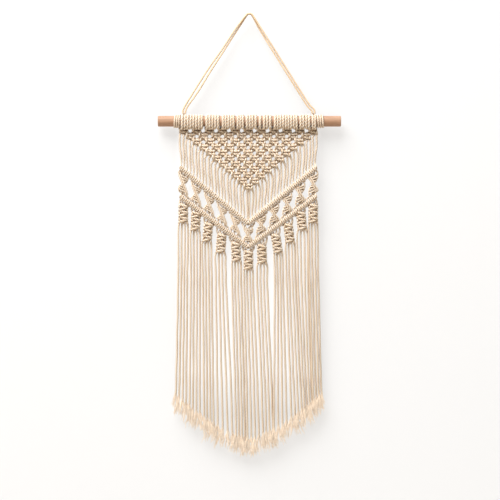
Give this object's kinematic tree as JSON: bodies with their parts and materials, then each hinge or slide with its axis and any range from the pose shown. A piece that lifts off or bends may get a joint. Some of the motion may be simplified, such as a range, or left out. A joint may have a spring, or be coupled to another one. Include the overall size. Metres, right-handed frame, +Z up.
{
  "type": "macrame wall hanging with dowel",
  "caption": "Knotted cotton wall hanging with a triangle of square knots, two V bars, spiral sinnets and a long fringe, on a plain wooden dowel with its hanging cord.",
  "frame": {"origin": "the hanging point: the underside of the hanging cord where it lies over the wall nail", "axes": "+Z up; the front faces -Y, the wall is on the +Y side; +X to the right as seen from the front, along the dowel"},
  "size_m": [0.256, 0.0196, 0.6197],
  "materials": {
    "dowel_wood": "smooth sanded, unvarnished",
    "hanger_cord": "thin twisted cotton cord",
    "cotton_cord": "three-ply twisted natural cotton cord"
  },
  "bodies": {
    "root": {"dowel": "dowel_wood", "hanging_cord_a": "hanger_cord", "hanging_cord_b": "hanger_cord", "hanger_hitch_left": "hanger_cord", "hanger_hitch_right": "hanger_cord", "macrame_panel": "cotton_cord", "macrame_fringe": "cotton_cord"}
  },
  "joints": []
}
